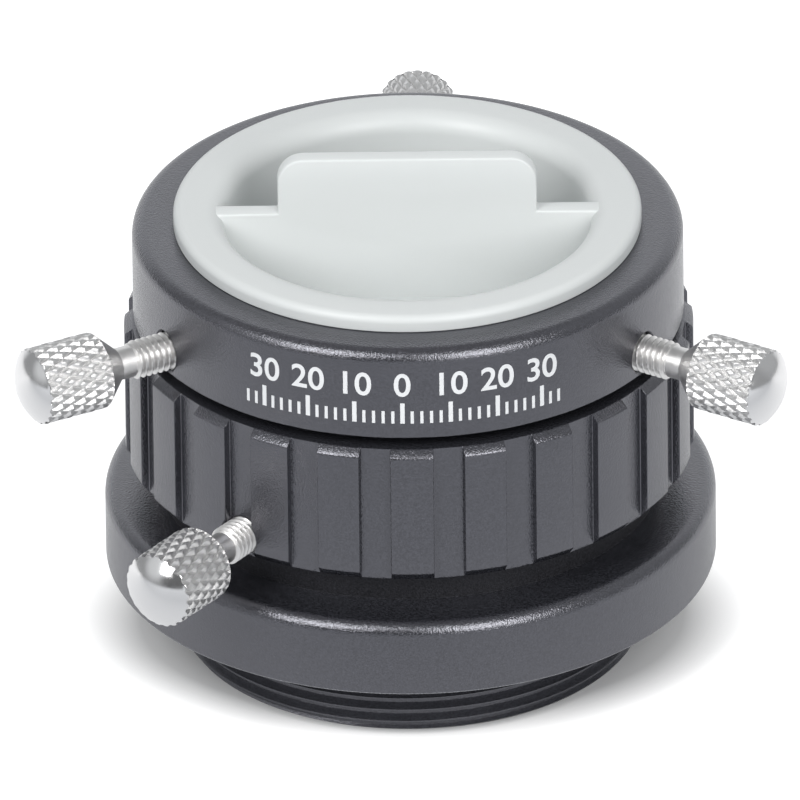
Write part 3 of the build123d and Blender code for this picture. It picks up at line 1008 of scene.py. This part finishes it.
# %% Floor
reach = 3.0
floor_corners = [(-reach, -reach), (reach, -reach), (reach, reach), (-reach, reach)]
floor_mesh = bpy.data.meshes.new("floor")
floor_mesh.from_pydata([(x, y, tube_bottom) for x, y in floor_corners], [], [(0, 1, 2, 3)])
floor = new_object("floor", floor_mesh)
paper, paper_tree, paper_shader, paper_where = new_material("paper floor")
paper_shader.inputs["Base Color"].default_value = (0.45, 0.465, 0.49, 1)
paper_shader.inputs["Roughness"].default_value = 0.7
paper_shader.inputs["Specular IOR Level"].default_value = 0.2
floor_mesh.materials.append(paper)
floor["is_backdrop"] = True
print("floor at z mm", round(tube_bottom / MM, 2))

# %% [markdown]
# The shade round the foot fades out on an ellipse, wider than it is deep. Inside it the floor is plain
# white paper in shadow, and outside it a little emission lifts the paper to white. Close to the axis, by
# distance in space, there is no lift: it would light the gap under the tube when the tube is raised.

# %% How white the floor is seen
shade_half_width, shade_half_depth = 25.0 * MM, 18.6 * MM
under_tube, past_tube = 17.6 * MM, 18.4 * MM
from_foot = paper_tree.nodes.new("ShaderNodeVectorMath")
from_foot.operation = "DISTANCE"
from_foot.inputs[1].default_value = (0, 0, tube_bottom)
paper_tree.links.new(paper_where, from_foot.inputs[0])
clear_of_tube = ramp(paper_tree, from_foot.outputs["Value"], under_tube, past_tube, 0.0, 1.0)
squeezed = paper_tree.nodes.new("ShaderNodeMapping")
squeezed.inputs["Location"].default_value = (0, 0, -tube_bottom)
squeezed.inputs["Scale"].default_value = (1 / shade_half_width, 1 / shade_half_depth, 1)
paper_tree.links.new(paper_where, squeezed.inputs["Vector"])
in_ellipses = paper_tree.nodes.new("ShaderNodeVectorMath")
in_ellipses.operation = "LENGTH"
paper_tree.links.new(squeezed.outputs["Vector"], in_ellipses.inputs[0])
fade = ramp(paper_tree, in_ellipses.outputs["Value"], 0.84, 1.06, 0.0, 0.7)
lift = paper_tree.nodes.new("ShaderNodeEmission")
lift_level = combined(paper_tree, "MULTIPLY", fade, clear_of_tube)
paper_tree.links.new(lift_level, lift.inputs["Strength"])
white_paper = paper_tree.nodes.new("ShaderNodeBsdfDiffuse")
white_paper.inputs["Color"].default_value = (0.72, 0.72, 0.72, 1)
lifted = paper_tree.nodes.new("ShaderNodeAddShader")
paper_tree.links.new(white_paper.outputs["BSDF"], lifted.inputs[0])
paper_tree.links.new(lift.outputs["Emission"], lifted.inputs[1])
print("shade round the foot, mm:", round(shade_half_width / MM, 1), round(shade_half_depth / MM, 1))

# %% Who sees which floor
rays = paper_tree.nodes.new("ShaderNodeLightPath").outputs
mirrored = combined(paper_tree, "ADD", rays["Is Glossy Ray"], rays["Is Transmission Ray"])
place_on_floor = paper_tree.nodes.new("ShaderNodeSeparateXYZ")
paper_tree.links.new(paper_where, place_on_floor.inputs[0])
share = ramp(paper_tree, place_on_floor.outputs["Y"], -0.06, 0.03, 0.16, 0.70)
seen_white = paper_tree.nodes.new("ShaderNodeMath")  # camera + mirrored x share
seen_white.operation, seen_white.use_clamp = "MULTIPLY_ADD", True
for source, socket in zip((mirrored, share, rays["Is Camera Ray"]), seen_white.inputs):
    paper_tree.links.new(source, socket)
chosen = paper_tree.nodes.new("ShaderNodeMixShader")
paper_tree.links.new(seen_white.outputs["Value"], chosen.inputs["Fac"])
paper_tree.links.new(paper_shader.outputs["BSDF"], chosen.inputs[1])
paper_tree.links.new(lifted.outputs["Shader"], chosen.inputs[2])
output = paper_tree.nodes["Material Output"]
paper_tree.links.new(chosen.outputs["Shader"], output.inputs["Surface"])
print("floor nodes:", len(paper_tree.nodes))

# %% [markdown]
# ### Lamps
# Two tall soft boxes stand to the left and right of the camera. A round edge mirrors the room like a
# bent strip of it, so each box shows as a streak along the rounded edges, and the gap between the boxes
# leaves the middle of each streak darker than its sides.

# %% Lights
def softbox(name, azimuth, elevation, distance, width, height, power):
    """A rectangular area light facing the object's middle."""
    light = bpy.data.lights.new(name, "AREA")
    light.shape, light.size, light.size_y, light.energy = "RECTANGLE", width, height, power
    made = new_object(name, light)
    level = math.cos(math.radians(elevation))
    place = distance * np.array([*(outward(azimuth)[:2] * level), math.sin(math.radians(elevation))])
    made.location = place + np.array([0, 0, 0.012])
    made.rotation_euler = (-mathutils.Vector(place)).to_track_quat("-Z", "Y").to_euler()
    print(f"{name}: {power} W at azimuth {azimuth}, elevation {elevation}")


softbox("left key", -38, 40, 0.80, 0.30, 0.46, 3.45)
softbox("right key", 29, 32, 0.80, 0.29, 0.56, 3.85)

# %% [markdown]
# ### The room
# The sky stands for the room's walls and ceiling, which level surfaces and domes mirror. It is a dim
# grey with four changes: a bright low sweep behind the object, which the level tops mirror; a darker
# patch toward the viewer, who stands in the way; and a paler patch on the left and one on the right.
# A Sky or an image texture would bring a real place's colours, and this room has none.

# %% World
world = bpy.data.worlds.new("studio")
world.use_nodes = True
sky = world.node_tree
sky_direction = sky.nodes.new("ShaderNodeTexCoord").outputs["Generated"]


def glow(aim, start, full, edge_level, middle_level):
    """A level that changes from edge_level to middle_level round one direction, as the cosine of the
    angle to it goes from start to full."""
    toward = sky.nodes.new("ShaderNodeVectorMath")
    toward.operation = "DOT_PRODUCT"
    toward.inputs[1].default_value = aim
    sky.links.new(sky_direction, toward.inputs[0])
    return ramp(sky, toward.outputs["Value"], start, full, edge_level, middle_level)


split = sky.nodes.new("ShaderNodeSeparateXYZ")
sky.links.new(sky_direction, split.inputs[0])
behind = ramp(sky, split.outputs["Y"], 0.55, 0.80, 0.0, 0.68)
low_down = ramp(sky, split.outputs["Z"], 0.60, 0.70, 1.0, 0.0)
sky_level = combined(sky, "MULTIPLY", behind, low_down)
for patch in (
    glow((-0.31, -0.90, 0.30), 0.86, 0.95, 0.36, 0.14),  # the dim grey, darker toward the viewer
    glow((-0.77, -0.34, 0.53), 0.84, 0.95, 0.0, 0.36),  # left
    glow((0.81, 0.26, 0.53), 0.76, 0.93, 0.0, 0.12),  # right
):
    sky_level = combined(sky, "ADD", sky_level, patch)
sky.links.new(sky_level, sky.nodes["Background"].inputs["Strength"])
sky.nodes["Background"].inputs["Color"].default_value = (0.96, 0.98, 1.0, 1)
bpy.context.scene.world = world
print("sky nodes:", len(sky.nodes))

# %% [markdown]
# ### The camera
# It looks down on the front at 29 degrees, rolled by less than a degree. A short lens would spread the
# object's sides, so it is a very long one, far off: the shapes stay nearly parallel. Its three axes are
# worked out as vectors and put into the columns of its matrix.

# %% Camera
elevation, roll = math.radians(29.082), math.radians(0.66)
aim, distance = np.array([-0.732, 0, 12.788]) * MM, 2.5
back = np.array([0, -math.cos(elevation), math.sin(elevation)])
level_right, level_up = np.array([1.0, 0, 0]), np.array([0, math.sin(elevation), math.cos(elevation)])
right = math.cos(roll) * level_right - math.sin(roll) * level_up
up = math.sin(roll) * level_right + math.cos(roll) * level_up
camera_data = bpy.data.cameras.new("camera")
camera = new_object("camera", camera_data)
placement = np.eye(4)
placement[:3, 0], placement[:3, 1], placement[:3, 2] = right, up, back
placement[:3, 3] = aim + back * distance
camera.matrix_world = mathutils.Matrix(placement.tolist())
camera_data.sensor_width, camera_data.lens = 36.0, 1459.6
camera_data.clip_start, camera_data.clip_end = 0.1, 20.0
bpy.context.scene.camera = camera
bpy.context.scene.view_settings.view_transform = "Standard"
print("camera distance m:", distance, "lens mm:", camera_data.lens)

# %% [markdown]
# ## Measure
# The dressed model should be as large as the solids. Its box is measured here.

# %% Measure and finish
low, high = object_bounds()
